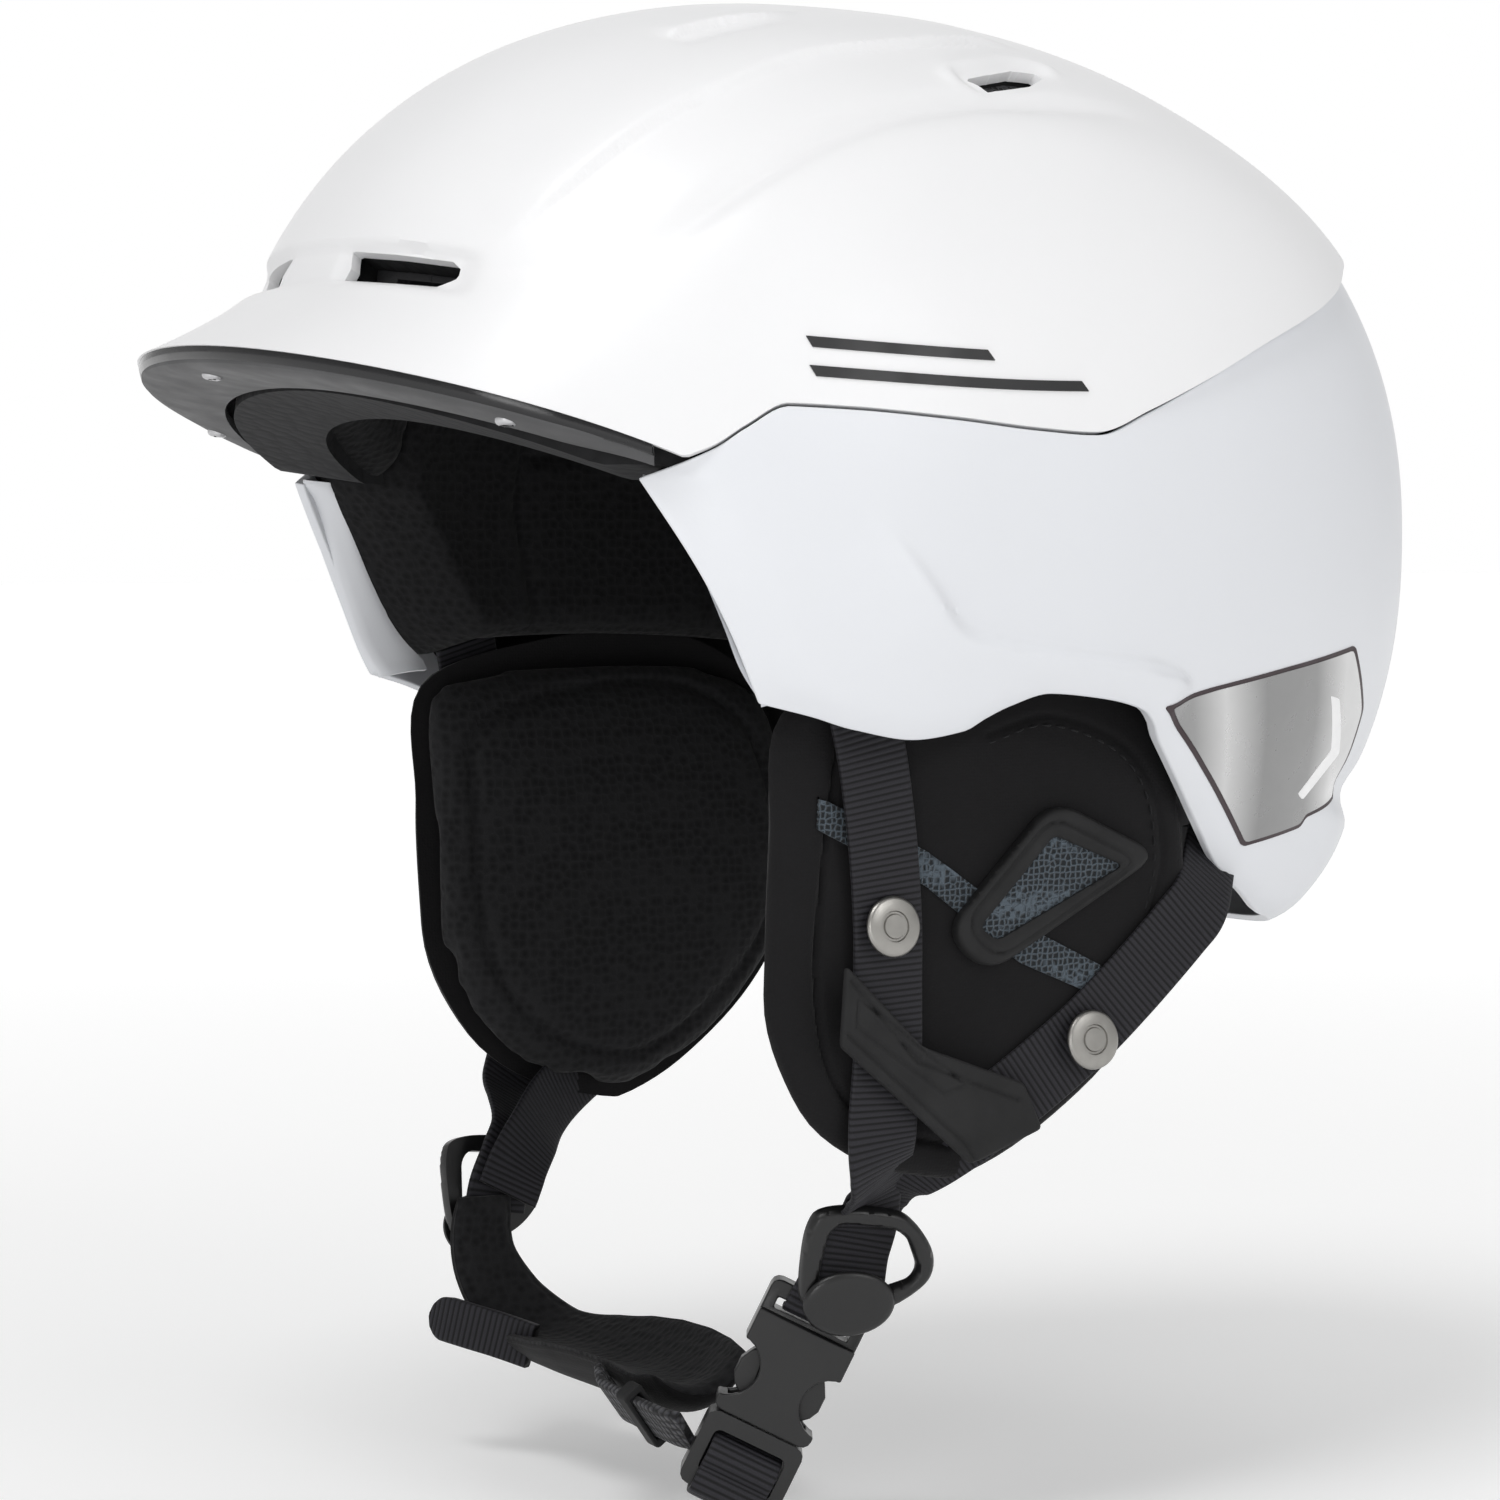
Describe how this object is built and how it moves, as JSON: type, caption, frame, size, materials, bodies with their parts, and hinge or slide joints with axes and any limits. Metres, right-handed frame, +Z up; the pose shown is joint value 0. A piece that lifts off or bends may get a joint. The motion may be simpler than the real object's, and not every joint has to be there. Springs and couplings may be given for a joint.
{
  "type": "ski helmet",
  "caption": "Snow-sports helmet with a short brim, two-piece hard shell, foam liner, fit dial, soft ear pads and a buckled padded chin strap.",
  "frame": {"origin": "middle of the crown pad's flat underside, where the helmet rests on the top of a head", "axes": "+Z up, -Y forwards out of the brim, +X the wearer's left side"},
  "size_m": [0.212, 0.2947, 0.3237],
  "materials": {
    "upper_white": "satin white moulded shell",
    "lower_white": "satin cool white moulded shell",
    "brim_grey": "dark grey fine textured moulding with a glossy edge",
    "foam_grey": "grey beaded foam",
    "screw_steel": "small pan-head screws",
    "vent_mesh": "grey woven mesh",
    "badge_silver": "brushed silver plate with a thin dark outline",
    "padding_black": "near-black knit with small cells over foam",
    "ear_cover_black": "smooth black neoprene with a stitched edge",
    "spacer_mesh": "blue-grey spacer mesh",
    "soft_rubber": "soft dark rubber",
    "webbing": "charcoal ribbed webbing",
    "snap_nickel": "nickel snap fasteners",
    "acetal_black": "black acetal, semi-gloss",
    "fit_plastic": "black nylon",
    "pin_steel": "steel pin"
  },
  "bodies": {
    "helmet": {"upper_shell": "upper_white", "lower_shell": "lower_white", "brim_plate": "brim_grey", "foam_liner": "foam_grey", "brim_screw_center": "screw_steel", "brim_screw_left": "screw_steel", "brim_screw_right": "screw_steel", "top_vent_mesh_left": "vent_mesh", "front_vent_grille_left": "fit_plastic", "badge_left": "badge_silver", "side_pad_left": "padding_black", "ear_cushion_left": "padding_black", "ear_cover_left": "ear_cover_black", "ear_vent_ring_left": "soft_rubber", "strap_keeper_left": "soft_rubber", "ear_vent_mesh_left": "spacer_mesh", "front_strap_left": "webbing", "rear_strap_left": "webbing", "snap_front_left": "snap_nickel", "snap_rear_left": "snap_nickel", "strap_divider_left": "acetal_black", "divider_cap_left": "acetal_black", "top_vent_mesh_right": "vent_mesh", "front_vent_grille_right": "fit_plastic", "badge_right": "badge_silver", "side_pad_right": "padding_black", "ear_cushion_right": "padding_black", "ear_cover_right": "ear_cover_black", "ear_vent_ring_right": "soft_rubber", "strap_keeper_right": "soft_rubber", "ear_vent_mesh_right": "spacer_mesh", "front_strap_right": "webbing", "rear_strap_right": "webbing", "snap_front_right": "snap_nickel", "snap_rear_right": "snap_nickel", "strap_divider_right": "acetal_black", "divider_cap_right": "acetal_black", "crown_pad": "padding_black", "brow_pad": "padding_black", "rear_pad": "padding_black", "chin_pad": "padding_black", "buckle_male": "acetal_black", "buckle_female": "acetal_black", "buckle_guide": "acetal_black", "buckle_webbing": "webbing", "buckle_link": "webbing", "strap_tail": "webbing", "elastic_tab": "webbing", "clip_base": "fit_plastic", "clip_pin": "pin_steel"},
    "cradle": {"cradle": "fit_plastic", "nape_pad": "padding_black"},
    "dial": {"fit_dial": "soft_rubber", "dial_shaft": "fit_plastic"},
    "band_left": {"fit_band_left": "fit_plastic"},
    "band_right": {"fit_band_right": "fit_plastic"},
    "clip_lever": {"goggle_clip": "fit_plastic"},
    "prong_front": {"latch_prong_front": "acetal_black"},
    "prong_rear": {"latch_prong_rear": "acetal_black"},
    "keeper_ring": {"elastic_keeper": "soft_rubber"}
  },
  "joints": [
    {"name": "cradle_height", "type": "slide", "parent": "helmet", "child": "cradle", "axis": [0, 0, 1], "range_m": [0, 0.01]},
    {"name": "dial_turn", "type": "hinge", "parent": "cradle", "child": "dial", "pos_m": [0, 0.105, -0.15], "axis": [0, 1, 0], "range_deg": [0, 300]},
    {"name": "band_left_pull", "type": "hinge", "parent": "cradle", "child": "band_left", "pos_m": [0, 0.036, -0.15], "axis": [0, 0, 1], "range_deg": [0, 11.3]},
    {"name": "band_right_pull", "type": "hinge", "parent": "cradle", "child": "band_right", "pos_m": [0, 0.036, -0.15], "axis": [0, 0, 1], "range_deg": [-11.3, 0]},
    {"name": "clip_open", "type": "hinge", "parent": "helmet", "child": "clip_lever", "pos_m": [0, 0.1575, -0.104], "axis": [1, 0, 0], "range_deg": [0, 60], "stiffness_Nm_per_rad": 0.01, "springref_deg": -8.59},
    {"name": "latch_front_squeeze", "type": "hinge", "parent": "helmet", "child": "prong_front", "pos_m": [0.04639, -0.0272, -0.26478], "axis": [0.8747, -0.4847, 0.0003], "range_deg": [-7, 0], "stiffness_Nm_per_rad": 0.05, "springref_deg": 2.86},
    {"name": "latch_rear_squeeze", "type": "hinge", "parent": "helmet", "child": "prong_rear", "pos_m": [0.05048, -0.01982, -0.26892], "axis": [0.8747, -0.4847, 0.0003], "range_deg": [0, 7], "stiffness_Nm_per_rad": 0.05, "springref_deg": -2.86},
    {"name": "keeper_slide", "type": "slide", "parent": "helmet", "child": "keeper_ring", "axis": [0.9957, 0.0415, -0.083], "range_m": [-0.005, 0.006]}
  ],
  "couplings": [
    {"joint": "band_left_pull", "follows": "dial_turn", "ratio": 0.03714},
    {"joint": "band_right_pull", "follows": "dial_turn", "ratio": -0.03714},
    {"joint": "latch_rear_squeeze", "follows": "latch_front_squeeze", "ratio": -1}
  ]
}
